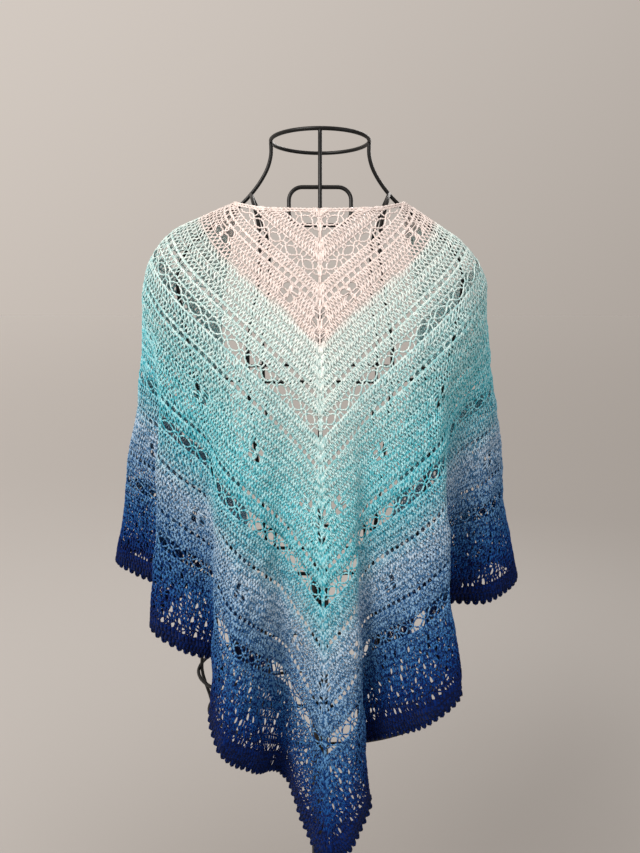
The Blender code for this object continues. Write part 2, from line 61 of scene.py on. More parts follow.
neckLine = [  # run along the long edge, then x, y, z
    (0.000, 0.000, -0.078, 1.414),
    (0.030, 0.030, -0.076, 1.415),
    (0.060, 0.058, -0.067, 1.417),
    (0.090, 0.083, -0.043, 1.424),
    (0.118, 0.096, -0.006, 1.431),
    (0.137, 0.095, 0.013, 1.429),
]
shoulder = [  # heading, outward share, run where it starts to turn down, run where it hangs
    (0.0, 0.33, 0.06, 0.26),
    (35.0, 0.52, 0.05, 0.24),
    (60.0, 0.76, 0.06, 0.19),
    (80.0, 0.88, 0.06, 0.170),
    (100.0, 0.88, 0.06, 0.170),
    (125.0, 0.77, 0.06, 0.19),
    (155.0, 0.62, 0.05, 0.24),
]
shoulderReach = {"left": 1.03, "right": 0.94}
folds = {  # angle from the spine in the flat cloth, then x, y of the hem there
    "right": [
        (0.0, 0.008, -0.146),
        (2.4, 0.036, -0.148),
        (4.9, 0.056, -0.126),
        (8.0, 0.043, -0.090),
        (9.6, 0.050, -0.081),
        (11.9, 0.068, -0.094),
        (17.8, 0.118, -0.132),
        (22.3, 0.155, -0.122),
        (28.8, 0.124, -0.062),
        (33.6, 0.146, -0.026),
        (40.1, 0.205, -0.042),
        (48.3, 0.250, 0.008),
        (56.0, 0.228, 0.066),
        (59.6, 0.204, 0.046),
        (62.6, 0.188, 0.058),
        (68.4, 0.192, 0.108),
        (74.8, 0.150, 0.138),
        (80.7, 0.122, 0.102),
        (86.2, 0.090, 0.140),
        (90.0, 0.060, 0.148),
    ],
    "left": [
        (0.0, 0.008, -0.146),
        (1.5, -0.008, -0.134),
        (6.0, -0.042, -0.090),
        (11.0, -0.074, -0.140),
        (14.4, -0.101, -0.158),
        (17.9, -0.121, -0.130),
        (23.5, -0.118, -0.078),
        (28.3, -0.158, -0.090),
        (32.5, -0.196, -0.080),
        (38.3, -0.168, -0.028),
        (43.3, -0.214, -0.018),
        (50.1, -0.264, 0.018),
        (57.1, -0.238, 0.070),
        (60.6, -0.212, 0.050),
        (63.6, -0.195, 0.061),
        (69.4, -0.196, 0.110),
        (76.0, -0.150, 0.140),
        (81.4, -0.126, 0.104),
        (86.6, -0.095, 0.142),
        (90.0, -0.065, 0.152),
    ],
}


def smoothTable(table, at):
    table = np.asarray(table, float)
    place, value = table[:, 0], table[:, 1:]
    at = np.clip(at, place[0], place[-1])
    step = np.diff(place)
    chord = np.diff(value, axis=0) / step[:, None]
    slope = np.empty_like(value)
    slope[0], slope[-1] = chord[0], chord[-1]
    before, after = step[:-1, None], step[1:, None]
    slope[1:-1] = (chord[:-1] * after + chord[1:] * before) / (before + after)
    i = np.clip(np.searchsorted(place, at, side="right") - 1, 0, len(place) - 2)
    width = step[i][:, None]
    t = (at - place[i])[:, None] / width
    return (
        value[i] * (1 + 2 * t) * (1 - t) ** 2
        + value[i + 1] * t * t * (3 - 2 * t)
        + width * t * (1 - t) * (slope[i] * (1 - t) - slope[i + 1] * t)
    )


def ease(t):
    t = np.clip(t, 0, 1)
    return t * t * (3 - 2 * t)


def neckRunAt(angle):
    return shawl["neckRun"] * (1 - (1 - np.abs(angle) / 90) ** 2.5)


def hangLines(lines=901, stations=321):
    # every line of the fan from the neck to the hem, as points in space
    angles = np.linspace(-90, 90, lines)
    size = np.abs(angles)
    left = angles < 0
    side = np.where(left, -1.0, 1.0)
    radians = np.radians(size)
    start = smoothTable(neckLine, neckRunAt(size))
    start[:, 0] *= side
    length = (1 - neckRunAt(size) / shawl["reach"]) / (
        np.sin(radians) / shawl["reach"] + np.cos(radians) / shawl["depth"]
    )
    run = np.linspace(0, 1, stations) * length[:, None]
    heading = size / 90 * shoulder[-1][0]
    out, turn, hang = smoothTable(shoulder, heading).T[:, :, None]
    heading = np.radians(heading)
    uneven = np.where(left, shoulderReach["left"], shoulderReach["right"]) - 1
    rate = out * (1 + uneven * np.sin(heading))[:, None] * (1 - ease((run - turn) / (hang - turn)))
    step = np.diff(run, axis=1)
    outward = np.cumsum((rate[:, 1:] + rate[:, :-1]) / 2 * step, axis=1)
    outward = np.hstack([np.zeros((lines, 1)), outward])
    away = np.stack([side * np.sin(heading), -np.cos(heading)], axis=-1)
    smooth = start[:, None, :2] + outward[..., None] * away[:, None, :]
    folded = np.where(left[:, None], smoothTable(folds["left"], size), smoothTable(folds["right"], size))
    free = np.clip((run - shawl["foldStart"]) / (length[:, None] - shawl["foldStart"]), 0, 1)
    grown = (free ** shawl["foldPower"])[..., None]
    across = smooth * (1 - grown) + folded[:, None, :] * grown
    moved = np.diff(across, axis=1)
    least = (shawl["leastFall"] * step) ** 2
    fall = np.sqrt(np.maximum(step**2 - (moved**2).sum(-1), least))
    height = start[:, 2:] - np.hstack([np.zeros((lines, 1)), np.cumsum(fall, axis=1)])
    return angles, length, np.concatenate([across, height[..., None]], axis=-1)


def findInFan(flat, angles, length):
    across, down = np.abs(flat[:, 0]), np.maximum(flat[:, 1], 0)
    low, high = np.zeros(len(flat)), np.full(len(flat), 90.0)
    for _ in range(34):
        middle = (low + high) / 2
        short = neckRunAt(middle) + down * np.tan(np.radians(middle)) < across
        low, high = np.where(short, middle, low), np.where(short, high, middle)
    run = np.hypot(across - neckRunAt(low), down)
    signed = np.where(flat[:, 0] < 0, -low, low)
    return signed, run / np.interp(signed, angles, length)


def ripples(x, y):
    # the small unevenness that hand-made cloth keeps, in metres off its smooth form
    random = np.random.default_rng(shawl["seed"])
    total = np.zeros_like(x)
    for wave, share in ((0.150, 1.0), (0.085, 0.8), (0.048, 0.6), (0.028, 0.35)):
        for _ in range(3):
            turn, shift = random.uniform(0, 2 * math.pi, 2)
            along = x * math.cos(turn) + y * math.sin(turn)
            total += share * np.sin(along * 2 * math.pi / wave + shift)
    return total * shawl["rippleHeight"] / 2.4


class HungCloth:
    # a fine table from flat cloth to space, read by every strand of yarn
    step = 0.0025

    def __init__(self):
        angles, length, grid = hangLines()
        self.left, self.top = -shawl["reach"] - 0.02, -0.005
        self.columns = int(2 * (shawl["reach"] + 0.02) / self.step) + 2
        self.lines = int((shawl["depth"] + 0.035) / self.step) + 2
        x = self.left + np.arange(self.columns) * self.step
        y = self.top + np.arange(self.lines) * self.step
        flat = np.stack(np.meshgrid(x, y), -1).reshape(-1, 2)
        signed, share = findInFan(flat, angles, length)
        count, stations = grid.shape[:2]
        i = np.clip((signed + 90) / 180 * (count - 1), 0, count - 1.000001)
        j = np.clip(share * (stations - 1), 0, (stations - 1) * 1.05)
        a = i.astype(int)
        b = np.minimum(j.astype(int), stations - 2)
        s, t = (i - a)[:, None], (j - b)[:, None]
        near = grid[a, b] * (1 - s) + grid[a + 1, b] * s
        far = grid[a, b + 1] * (1 - s) + grid[a + 1, b + 1] * s
        place = (near * (1 - t) + far * t).reshape(self.lines, self.columns, 3)
        normal = np.cross(np.gradient(place, axis=0), np.gradient(place, axis=1))
        normal /= np.linalg.norm(normal, axis=-1)[..., None] + 1e-12
        low = np.abs(flat[:, 0]) / shawl["reach"] + flat[:, 1] / shawl["depth"]
        loose = ease((low - shawl["rippleFrom"]) / shawl["rippleGrow"])
        lift = (ripples(flat[:, 0], flat[:, 1]) * loose).reshape(self.lines, self.columns, 1)
        self.place = place + normal * lift
        self.normal = normal

    def at(self, flat):
        # points in space and the cloth's outward normals there
        shape = flat.shape[:-1]
        flat = flat.reshape(-1, 2)
        i = np.clip((flat[:, 1] - self.top) / self.step, 0, self.lines - 1.001)
        j = np.clip((flat[:, 0] - self.left) / self.step, 0, self.columns - 1.001)
        a, b = i.astype(int), j.astype(int)
        s, t = (i - a)[:, None], (j - b)[:, None]
        found = []
        for table in (self.place, self.normal):
            near = table[a, b] * (1 - t) + table[a, b + 1] * t
            far = table[a + 1, b] * (1 - t) + table[a + 1, b + 1] * t
            found.append(near * (1 - s) + far * s)
        found[1] /= np.linalg.norm(found[1], axis=1)[:, None] + 1e-12
        return [part.reshape(*shape, 3) for part in found]


hung = HungCloth()
print("cloth hung:", hung.place.shape)


def onArm(side, row, along):
    # flat point of an arm's row: along is the distance from the spine
    return np.stack(
        [
            side * along * shawl["reach"] / shawl["arm"],
            row / shawl["rows"] * shawl["depth"] - along * shawl["depth"] / shawl["arm"],
        ],
        axis=-1,
    )


def rowLength(row):
    return row / shawl["rows"] * shawl["arm"]


class Yarn:
    # collects strands, given in flat cloth, and makes one mesh of them

    def __init__(self):
        self.parts = []

    def add(self, flat, lift, width, thick, sides=3):
        # flat (strands, points, 2), lift off the middle surface (strands, points)
        flat = flat.copy()
        flat[..., 1] = np.maximum(flat[..., 1], 0.0004)
        place, normal = hung.at(flat)
        place = place + normal * lift[..., None]
        ahead = np.gradient(place, axis=1)
        ahead /= np.linalg.norm(ahead, axis=-1)[..., None] + 1e-12
        across = np.cross(normal, ahead)
        across /= np.linalg.norm(across, axis=-1)[..., None] + 1e-12
        up = np.cross(ahead, across)
        count, points = place.shape[:2]
        width = np.broadcast_to(width, (count, points))[..., None]
        thick = np.broadcast_to(thick, (count, points))[..., None]
        rings = []
        grow = 1.1 if sides == 3 else 1.0  # a strand of three sides looks thinner than a round one
        for k in range(sides):
            turn = math.pi / 2 + 2 * math.pi * k / sides
            rings.append(
                place
                + across * width / 2 * math.cos(turn) * grow
                + up * thick / 2 * math.sin(turn) * grow
            )
        verts = np.stack(rings, axis=2).reshape(-1, 3)
        uv = np.repeat(flat[:, :, None, :], sides, axis=2).reshape(-1, 2)
        first = np.arange(count)[:, None, None] * points * sides
        k = np.arange(points - 1)[None, :, None] * sides
        after = k + sides
        c = np.arange(sides)[None, None, :]
        d = (c + 1) % sides
        quads = np.stack([first + k + c, first + k + d, first + after + d, first + after + c], -1)
        base = np.arange(count)[:, None] * points * sides
        ring = np.arange(sides)[None, :]
        caps = np.vstack([base + ring[:, ::-1], base + (points - 1) * sides + ring])
        self.parts.append((verts, uv, quads.reshape(-1, 4), caps))

    def build(self, name, material):
        verts = np.vstack([p[0] for p in self.parts])
        uv = np.vstack([p[1] for p in self.parts])
        starts = np.cumsum([0] + [len(p[0]) for p in self.parts])
        loops, sizes = [], []
        for (_, _, quads, caps), start in zip(self.parts, starts):
            for faces in (quads, caps):
                loops.append((faces + start).ravel())
                sizes.append(np.full(len(faces), faces.shape[1]))
        loops, sizes = np.concatenate(loops), np.concatenate(sizes)
        mesh = bpy.data.meshes.new(name)
        mesh.vertices.add(len(verts))
        mesh.vertices.foreach_set("co", verts.astype(np.float32).ravel())
        mesh.loops.add(len(loops))
        mesh.loops.foreach_set("vertex_index", loops.astype(np.int32))
        mesh.polygons.add(len(sizes))
        mesh.polygons.foreach_set("loop_start", (np.cumsum(sizes) - sizes).astype(np.int32))
        mesh.polygons.foreach_set("loop_total", sizes.astype(np.int32))
        share = uv[:, 1] / shawl["depth"] + np.abs(uv[:, 0]) / shawl["reach"]
        drawn = np.stack([0.5 + uv[:, 0] / (2 * shawl["reach"]), share], -1)[loops]
        low, high = drawn.min(axis=0), drawn.max(axis=0)
        mesh.uv_layers.new(name="flatCloth").uv.foreach_set("vector", drawn.astype(np.float32).ravel())
        packed = 0.01 + 0.98 * (drawn - low) / (high - low)
        mesh.uv_layers.new(name="OFBake").uv.foreach_set("vector", packed.astype(np.float32).ravel())
        mesh.materials.append(material)
        mesh.update(calc_edges=True)
        mesh.validate()
        mesh.shade_smooth()
        made = bpy.data.objects.new(name, mesh)
        scene.collection.objects.link(made)
        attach(made, "root")
        surface = sum(face.area for face in mesh.polygons)
        print(name, "triangles:", int((sizes - 2).sum()), "surface:", round(surface, 4))
        return made


# stitches: a treble is two strands up a post, with a chain along its head
treble = {
    "pitch": 0.0042,
    "strandWidth": 0.00225,
    "strandThick": 0.0009,
    "footSpread": 0.0011,
    "headSpread": 0.0008,
    "lean": 0.0009,
    "points": 4,
    "bentPoints": 8,
    "chainWidth": 0.0019,
    "chainThick": 0.0010,
    "chainWave": 0.0005,
    "spineWidth": 0.0019,
    "spineThick": 0.0012,
    "spineZone": 0.016,  # posts straighten over this length beside the spine
    "edgeZone": 0.030,  # and slant to the long edge over this one
    "lowerRow": 33,  # from here down the strands are a little wider
    "lowerWide": 1.12,
}
eyelet = {"half": 0.0034, "reach": 0.0095, "spread": 0.00472, "spine": 0.0021, "margin": 0.030}
flowers = [  # row of the middle, distance of the first from the spine, pitch
    (10, 0.045, 0.090),
    (27, 0.030, 0.088),
    (42, 0.062, 0.118),
]
spineFlowers = {}  # row: distance from the spine of its petal in a six-petal flower
for middle, _, _ in flowers:
    spineFlowers.update({middle - 1: 0.0042, middle: 0.0082, middle + 1: 0.0042})
sparkle = {"rows": (50, 57), "pitch": 0.0190, "jitter": 0.0050, "half": 0.0012, "reach": 0.0042}


def squared(row, middle):
    # how far along a point stands past the middle row's, so that shapes stay square to the row
    return (row - middle) * rowHeight * shawl["depth"] / shawl["reach"]


def petalsOf(row):
    # distances from the spine of the petals in this row of trebles
    places = []
    for middle, first, pitch in flowers:
        if row in (middle - 1, middle):
            k = 0
            while first + k * pitch < rowLength(middle) - eyelet["margin"]:
                centre = first + k * pitch + squared(row + 0.5, middle)
                places += [centre - eyelet["spread"], centre + eyelet["spread"]]
                k += 1
    if row in spineFlowers:
        places.append(spineFlowers[row])
    return np.array(sorted(places))


def sparklesOf(side, row):
    # distances from the spine of the small openings in this row of fine mesh
    random = np.random.default_rng(3000 + row * 2 + (side > 0))
    count = int(rowLength(row) / sparkle["pitch"])
    return (np.arange(count) + 0.5) * sparkle["pitch"] + random.normal(0, sparkle["jitter"], count)


def openPetals(side, row, along, share):
    # pushes stitches aside round the petals of a flower or a small opening
    fine = sparkle["rows"][0] <= row <= sparkle["rows"][1]
    places = sparklesOf(side, row) if fine else petalsOf(row)
    if not len(places):
        return along
    upright = along - (share - 0.5) * squared(1, 0) * ease(along / treble["spineZone"])
    nearest = places[np.abs(upright[..., None] - places).argmin(-1)]
    gap = upright - nearest
    given = sparkle if fine else eyelet
    reach, half = given["reach"], given["half"] + treble["strandWidth"] / 2
    near = np.abs(gap) < reach
    pushed = np.sign(gap) * (half + np.abs(gap) / reach * (reach - half))
    amount = 0.25 + 0.75 * np.sin(np.pi * np.clip(share, 0, 1)) ** 0.7
    return np.where(near, along + (pushed - gap) * amount, along)


def headShift(row, along):
    # how far along the row a post's head stands past its foot, so that posts stay square to the row
    square, growth = squared(1, 0), shawl["arm"] / shawl["rows"]
    near = ease(along / treble["spineZone"])
    far = ease((along - (rowLength(row + 1) - treble["edgeZone"])) / treble["edgeZone"])
    return square * near + (growth - square) * far


trebleLook = {  # what a row of trebles may change
    "pitch": treble["pitch"],
    "wide": 1.0,
    "thick": 1.0,
    "waist": 0.12,
    "lap": 0.04,
    "jitter": 0.00025,
    "fan": 0.0,
    "strands": (-1, 1),
}


def trebleRow(yarn, side, row, **changed):
    look = {**trebleLook, **changed}
    pitch, jitter, lap = look["pitch"], look["jitter"], look["lap"]
    random = np.random.default_rng(1000 + row * 2 + (side > 0))
    length = rowLength(row + 1)
    count = max(1, int(round(length / pitch)))
    head = (np.arange(count) + 0.5) * length / count
    foot = np.maximum(head - headShift(row, head), 0.0006)
    head = head + random.normal(0, jitter, count)
    lean = treble["lean"] * (1 if row % 2 else -1)
    if look["fan"]:
        lean = lean + look["fan"] * np.where(np.arange(count) % 2, 1.0, -1.0)
    petals = petalsOf(row)
    bent = np.zeros(count, bool)
    if len(petals):
        bent = np.abs((head + foot)[:, None] / 2 - petals).min(axis=1) < eyelet["reach"] + 0.002
    for strand in look["strands"]:
        foots = foot - lean + strand * treble["footSpread"]
        heads = head + lean + strand * treble["headSpread"]
        shift = random.normal(0, jitter, count)
        for chosen, points in ((~bent, treble["points"]), (bent, treble["bentPoints"])):
            if not chosen.any():
                continue
            share = np.linspace(0, 1, points)
            along = foots[chosen, None] + (heads - foots)[chosen, None] * share
            along = along + strand * 0.0005 * np.sin(2 * np.pi * share) + shift[chosen, None]
            along = openPetals(side, row, along, share)
            if row not in spineFlowers:
                beside = np.clip(1 - along / 0.006, 0, 1)
                along = along + beside * eyelet["spine"] * np.sin(np.pi * share)
            along = np.maximum(along, 0.0)
            rows = np.broadcast_to(row - lap + share * (1 + 1.5 * lap), along.shape)
            lift = (0.00035 + 0.0004 * np.sin(np.pi * share + strand * 0.9)) * np.ones_like(along)
            lift = lift + strand * 0.0003 * np.cos(np.pi * share)
            width = treble["strandWidth"] * look["wide"] * (1 - look["waist"] * np.cos(2 * np.pi * share))
            yarn.add(onArm(side, rows, along), lift, width, treble["strandThick"] * look["thick"])
    spinePost(yarn, side, row, row + 1)
    chainAlong(yarn, side, row + 1, pitch)


def spinePost(yarn, side, low, high, width=treble["spineWidth"]):
    # the middle stitch that the two arms of a row share
    rows = np.linspace(low, high, 4)[None]
    apart = np.array([[0.0010, 0.0007, 0.0007, 0.0010]]) * width / treble["spineWidth"]
    yarn.add(onArm(side, rows, apart), np.full((1, 4), 0.0003), width, treble["spineThick"])


def chainAlong(yarn, side, row, pitch, width=1.0, lift=0.0005):
    # a braided chain along a row's edge, as one zigzag strand
    count = 2 * max(2, int(round(rowLength(row) / pitch))) + 1
    along = np.linspace(0.0, rowLength(row), count)
    zig = np.where(np.arange(count) % 2, 1.0, -1.0)
    flat = onArm(side, row + treble["chainWave"] / rowHeight * zig, along)[None]
    raised = np.full((1, count), lift) + 0.0002 * zig
    yarn.add(flat, raised, treble["chainWidth"] * width, treble["chainThick"])


# filet rows: one post for every hole
filet = {
    "rows": {8, 16, 22, 31, 38, 44},
    "pitch": 0.0079,
    "postWidth": 0.0017,
    "postSpread": 0.00062,
    "rail": 1.5,
    "spineWidth": 0.0024,
}


def filetRow(yarn, side, row):
    length = rowLength(row + 1)
    count = max(1, int(round(length / filet["pitch"])))
    head = (np.arange(count) + 0.75) * length / count
    foot = np.maximum(head - headShift(row, head), 0.0006)
    share = np.linspace(0, 1, treble["points"])
    for strand in (-1, 1):
        along = foot[:, None] + (head - foot)[:, None] * share
        pinch = 1 + 1.1 * (2 * share - 1) ** 2
        along = along + strand * filet["postSpread"] * pinch
        rows = np.broadcast_to(row + share, along.shape)
        lift = (0.0004 + strand * 0.0003 * np.cos(np.pi * share)) * np.ones_like(along)
        width = filet["postWidth"] * (1 + 0.25 * (2 * share - 1) ** 2)
        yarn.add(onArm(side, rows, along), lift, width, treble["strandThick"])
    spinePost(yarn, side, row, row + 1, filet["spineWidth"])
    for rail in (0.13, 0.87):
        chainAlong(yarn, side, row + rail, filet["pitch"] / 2, filet["rail"], lift=0.0003)
    chainAlong(yarn, side, row + 1, filet["pitch"] / 2)


# lattice bands: two chains that part and cross, with bars to the rows beside them
lattice = {
    "bands": [1, 5, 18, 33, 47],
    "tall": 2,
    "pitch": 0.0228,
    "lens": 0.0148,
    "lensHalf": 0.0052,
    "smallHalf": 0.0026,
    "width": 0.0019,
    "thick": 0.0014,
    "step": 0.0016,
    "barWidth": 0.0018,
    "barThick": 0.0016,
    "barFeet": ((-0.0016, -0.0016), (0.0016, 0.0016)),  # foot and head of each, from a lens's middle
    "sideBars": ((-0.0094, -0.0080), (0.0094, 0.0080)),
    "rail": 1.2,
    "spineWidth": 0.0026,
}


def latticeBand(yarn, side, first):
    last = first + lattice["tall"]
    middle = first + lattice["tall"] / 2
    end = rowLength(middle) - 0.004
    along = np.arange(0.0, end, lattice["step"])
    phase = (along / lattice["pitch"] - 0.75 + 0.5) % 1 - 0.5  # 0 in the middle of a lens
    share = lattice["lens"] / lattice["pitch"] / 2
    inside = np.abs(phase) < share
    big = np.cos(np.clip(phase / share, -1, 1) * math.pi / 2) ** 0.8 * lattice["lensHalf"]
    rest = (0.5 - np.abs(phase)) / (0.5 - share)
    small = np.cos(np.clip(rest, -1, 1) * math.pi / 2) * lattice["smallHalf"]
    parted = np.where(inside, big, -small)
    zig = 0.00035 * np.where(np.arange(len(along)) % 2, 1, -1)
    for strand in (-1, 1):
        rows = middle + (strand * parted + zig) / rowHeight
        lift = np.full((1, len(along)), 0.0002 + strand * 0.0004)
        placed = np.maximum(along + squared(rows, middle), 0.0)
        yarn.add(onArm(side, rows, placed)[None], lift, lattice["width"], lattice["thick"], sides=4)
    centres = (np.arange(int(end / lattice["pitch"] + 0.5)) + 0.75) * lattice["pitch"]
    bars = []
    for c in centres[centres < end - 0.006]:
        for way, edge in ((-1, first), (1, last)):
            touch = middle + way * lattice["lensHalf"] * 0.93 / rowHeight
            for foot, head in lattice["barFeet"]:
                bars.append(((c + foot, touch), (c + head, edge)))
            for foot, head in lattice["sideBars"]:
                bars.append(((c + foot, middle + way * 0.16), (c + head, edge)))
    bars = np.array(bars) if bars else np.zeros((0, 2, 2))
    bars[..., 0] = np.clip(bars[..., 0] + squared(bars[..., 1], middle), 0.001, None)
    keep = (bars[..., 0] < rowLength(bars[..., 1]) - 0.002).all(axis=1)
    bars = bars[keep]
    if len(bars):
        t = np.linspace(0, 1, 5)
        along = bars[:, 0, 0, None] + (bars[:, 1, 0] - bars[:, 0, 0])[:, None] * t
        along = along + 0.0007 * np.sin(np.pi * t) * np.sign(bars[:, 1, 0] - bars[:, 0, 0])[:, None]
        rows = bars[:, 0, 1, None] + (bars[:, 1, 1] - bars[:, 0, 1])[:, None] * t
        lift = np.full(along.shape, 0.0001)
        yarn.add(onArm(side, rows, along), lift, lattice["barWidth"], lattice["barThick"], sides=4)
    spinePost(yarn, side, first, last, lattice["spineWidth"])
    chainAlong(yarn, side, first + 0.05, treble["pitch"], lattice["rail"])
    chainAlong(yarn, side, last - 0.05, treble["pitch"], lattice["rail"])
    chainAlong(yarn, side, last, treble["pitch"])


# the binding along the long edge: two cords, each at a depth and a lift of its own
binding = {"step": 0.0022, "wave": 0.0004, "width": 0.0025, "thick": 0.0020}
binding["cords"] = ((0.0012, 0.0004, -1), (0.0034, 0.0001, 1))


def longEdge(yarn, side, fromRow, toRow):
    start, end = (shawl["reach"] * row / shawl["rows"] for row in (fromRow, toRow))
    count = int((end - start) / binding["step"])
    x = np.linspace(start, end, count)
    for down, raised, way in binding["cords"]:
        wave = binding["wave"] * np.where(np.arange(count) % 2, 1, -1) * way
        flat = np.stack([side * x, down + wave], -1)[None]
        yarn.add(flat, np.full((1, count), raised), binding["width"], binding["thick"], sides=4)


latticeRows = {first + k for first in lattice["bands"] for k in range(lattice["tall"])}
hemRow, firmRow = 49, 58  # fine mesh starts at the one, firm stitches at the other
hemStitch = {"pitch": 0.0044, "jitter": 0.0003, "fan": 0.0004, "wide": 1.12, "waist": 0.0}
hemStitch.update({"lap": 0.06, "thick": 0.9})
firmStitch = {"pitch": 0.0044, "jitter": 0.0001, "wide": 2.38, "waist": -0.03}
firmStitch.update({"lap": 0.10, "thick": 1.4, "strands": (0,)})


def workRows(yarn, side, fromRow, toRow):
    for row in range(fromRow, toRow):
        if row in latticeRows:
            if row in lattice["bands"]:
                latticeBand(yarn, side, row)
        elif row in filet["rows"]:
            filetRow(yarn, side, row)
        elif row >= firmRow:
            trebleRow(yarn, side, row, **firmStitch)
        elif row >= hemRow:
            trebleRow(yarn, side, row, **hemStitch)
        elif row >= treble["lowerRow"]:
            trebleRow(yarn, side, row, wide=treble["lowerWide"])
        else:
            trebleRow(yarn, side, row)
    longEdge(yarn, side, fromRow, toRow)


# the edging: one firm row and a small picot every second stitch
picot = {"pitch": 0.0092, "tall": 0.0042, "wide": 0.0042, "yarn": 0.0042, "points": 7}


def workEdging(yarn, side):
    last = shawl["rows"] - 1
    trebleRow(yarn, side, last, **firmStitch)
    length = rowLength(shawl["rows"])
    count = int(length / picot["pitch"])
    centre = (np.arange(count) + 0.5) * length / count
    turn = np.linspace(-0.15, 1.15, picot["points"]) * math.pi
    along = centre[:, None] - picot["wide"] / 2 * np.cos(turn)
    out = picot["tall"] * np.sin(turn) + 0.0004
    rows = shawl["rows"] + np.broadcast_to(out / rowHeight, along.shape)
    along = along + squared(rows, shawl["rows"])
    lift = np.full(along.shape, 0.0003)
    yarn.add(onArm(side, rows, along), lift, picot["yarn"], picot["yarn"] * 0.7)
    longEdge(yarn, side, last, shawl["rows"])


def paint(red, green, blue):
    # display colours 0 to 255 to the linear values that shaders take
    made = []
    for value in (red, green, blue):
        value /= 255
        made.append(value / 12.92 if value <= 0.04045 else ((value + 0.055) / 1.055) ** 2.4)
    return (*made, 1.0)


def fillInputs(tree, node, values):
    # a value is a number or colour for the input, or another node's output to join to it
    for name, value in values.items():
        if isinstance(value, bpy.types.NodeSocket):
            tree.links.new(value, node.inputs[name])
        else:
            node.inputs[name].default_value = value


def addNode(tree, kind, values=None, **settings):
    made = tree.nodes.new(kind)
    for name, value in settings.items():
        setattr(made, name, value)
    fillInputs(tree, made, values or {})
    return made


def newGroup(name, inputs, outputs):
    tree = bpy.data.node_groups.new(name, "ShaderNodeTree")
    for socket in inputs:
        tree.interface.new_socket(socket, in_out="INPUT", socket_type="NodeSocketFloat")
    for socket in outputs:
        kind = "NodeSocketColor" if socket == "Color" else "NodeSocketFloat"
        tree.interface.new_socket(socket, in_out="OUTPUT", socket_type=kind)
    return tree, tree.nodes.new("NodeGroupInput"), tree.nodes.new("NodeGroupOutput")


def newMaterial(name):
    material = bpy.data.materials.new(name)
    material.use_nodes = True
    return material, material.node_tree, material.node_tree.nodes["Principled BSDF"]


# the yarn's change of colour down the shawl: share of the way to the hem, light ply, dark ply
ombre = [
    (0.000, (244, 232, 228), (228, 214, 208)),
    (0.196, (244, 232, 228), (228, 214, 208)),
    (0.210, (236, 243, 239), (206, 224, 221)),
    (0.300, (226, 240, 237), (182, 212, 211)),
    (0.400, (196, 227, 228), (126, 192, 198)),
    (0.480, (178, 228, 234), (94, 188, 200)),
    (0.560, (150, 212, 222), (56, 162, 180)),
    (0.620, (166, 206, 219), (74, 148, 172)),
    (0.670, (188, 208, 226), (92, 136, 170)),
    (0.740, (142, 176, 206), (48, 94, 142)),
    (0.800, (102, 150, 192), (12, 62, 118)),
    (0.860, (56, 114, 172), (1, 42, 104)),
    (0.920, (14, 72, 142), (0, 24, 88)),
    (0.960, (0, 34, 100), (0, 16, 64)),
    (1.000, (0, 24, 78), (0, 12, 48)),
]


def ombreGroup():
    tree, given, result = newGroup("ombreYarn", ("Ply Size", "Contrast"), ("Color", "Height"))
    flat = addNode(tree, "ShaderNodeUVMap", uv_map="flatCloth").outputs["UV"]
    parts = addNode(tree, "ShaderNodeSeparateXYZ", {0: flat})
    metres = (2 * shawl["reach"], round(shawl["fall"], 3), 1.0)
    place = addNode(tree, "ShaderNodeMapping", {"Vector": flat, "Scale": metres}).outputs["Vector"]
    wander = addNode(tree, "ShaderNodeTexNoise", {"Vector": place, "Scale": 60.0, "Detail": 2.0})
    shift = addNode(tree, "ShaderNodeMath", {0: wander.outputs["Fac"], 1: -0.5}, operation="ADD")
    small = addNode(tree, "ShaderNodeMath", {0: shift.outputs[0], 1: 0.03}, operation="MULTIPLY")
    share = addNode(tree, "ShaderNodeMath", {0: parts.outputs["Y"], 1: small.outputs[0]}, operation="ADD")
    plyColours = []
    for which in (1, 2):
        ramp = addNode(tree, "ShaderNodeValToRGB", {"Fac": share.outputs[0]})
        while len(ramp.color_ramp.elements) < len(ombre):
            ramp.color_ramp.elements.new(0.5)
        for stop, row in zip(ramp.color_ramp.elements, ombre):
            stop.position = row[0]
            stop.color = paint(*row[which])
        plyColours.append(ramp.outputs["Color"])
    finer = addNode(tree, "ShaderNodeMath", {0: 1.0, 1: given.outputs["Ply Size"]}, operation="DIVIDE")
    flecks = addNode(
        tree,
        "ShaderNodeTexNoise",
        {"Vector": place, "Scale": finer.outputs[0], "Detail": 1.0, "Roughness": 0.6},
    )
    sharper = addNode(
        tree, "ShaderNodeMapRange", {"Value": flecks.outputs["Fac"], "From Min": 0.43, "From Max": 0.57}
    )
    amount = addNode(
        tree,
        "ShaderNodeMath",
        {0: sharper.outputs["Result"], 1: given.outputs["Contrast"]},
        operation="MULTIPLY",
    )
    mixed = addNode(
        tree,
        "ShaderNodeMix",
        {"Factor": amount.outputs[0], 6: plyColours[0], 7: plyColours[1]},
        data_type="RGBA",
    )
    fibres = addNode(tree, "ShaderNodeTexNoise", {"Vector": place, "Scale": 1400.0, "Detail": 3.0})
    # bands across the flat cloth cross both posts and chains aslant, as twisted plies do
    plies = addNode(
        tree, "ShaderNodeTexWave", {"Vector": place, "Scale": 196.0, "Distortion": 0.6, "Detail": 1.0}
    )
    height = addNode(
        tree, "ShaderNodeMix", {"Factor": 0.65, 2: fibres.outputs["Fac"], 3: plies.outputs["Fac"]}
    )
    fillInputs(tree, result, {"Color": mixed.outputs[2], "Height": height.outputs[0]})
    return tree


ombreYarn = ombreGroup()
cotton = {
    "plySize": 0.0034,
    "contrast": 1.0,
    "sheen": 0.03,
    "sheenRoughness": 0.5,
    "specular": 0.08,
    "bump": 0.6,
    "bumpDepth": 0.0005,
}


